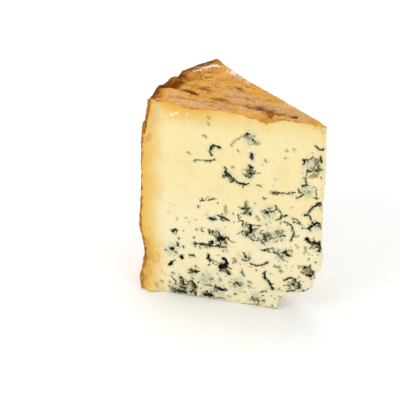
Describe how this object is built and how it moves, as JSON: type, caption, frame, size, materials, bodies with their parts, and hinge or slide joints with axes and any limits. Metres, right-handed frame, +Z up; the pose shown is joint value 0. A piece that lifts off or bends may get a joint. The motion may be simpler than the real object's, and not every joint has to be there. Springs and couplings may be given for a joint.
{
  "type": "cheese_wedge",
  "caption": "Upright wedge of a tall blue-veined cheese: natural rind on top and on the curved side, two knife-cut sides, a flat cut base and a crumbled lower tip.",
  "frame": {"origin": "centre of the bounding box of the wedge, at the height of the flat underside it stands on", "axes": "+Z up, along the axis of the cheese it was cut from; +X from the rind towards the thin tip; -Y is the outward normal of the front cut face"},
  "size_m": [0.1064, 0.0634, 0.1189],
  "materials": {
    "cheese": "matt moist cream paste with blue-green veins, and a dry orange-brown rind"
  },
  "bodies": {
    "root": {"cheese_wedge": "cheese"}
  },
  "joints": []
}
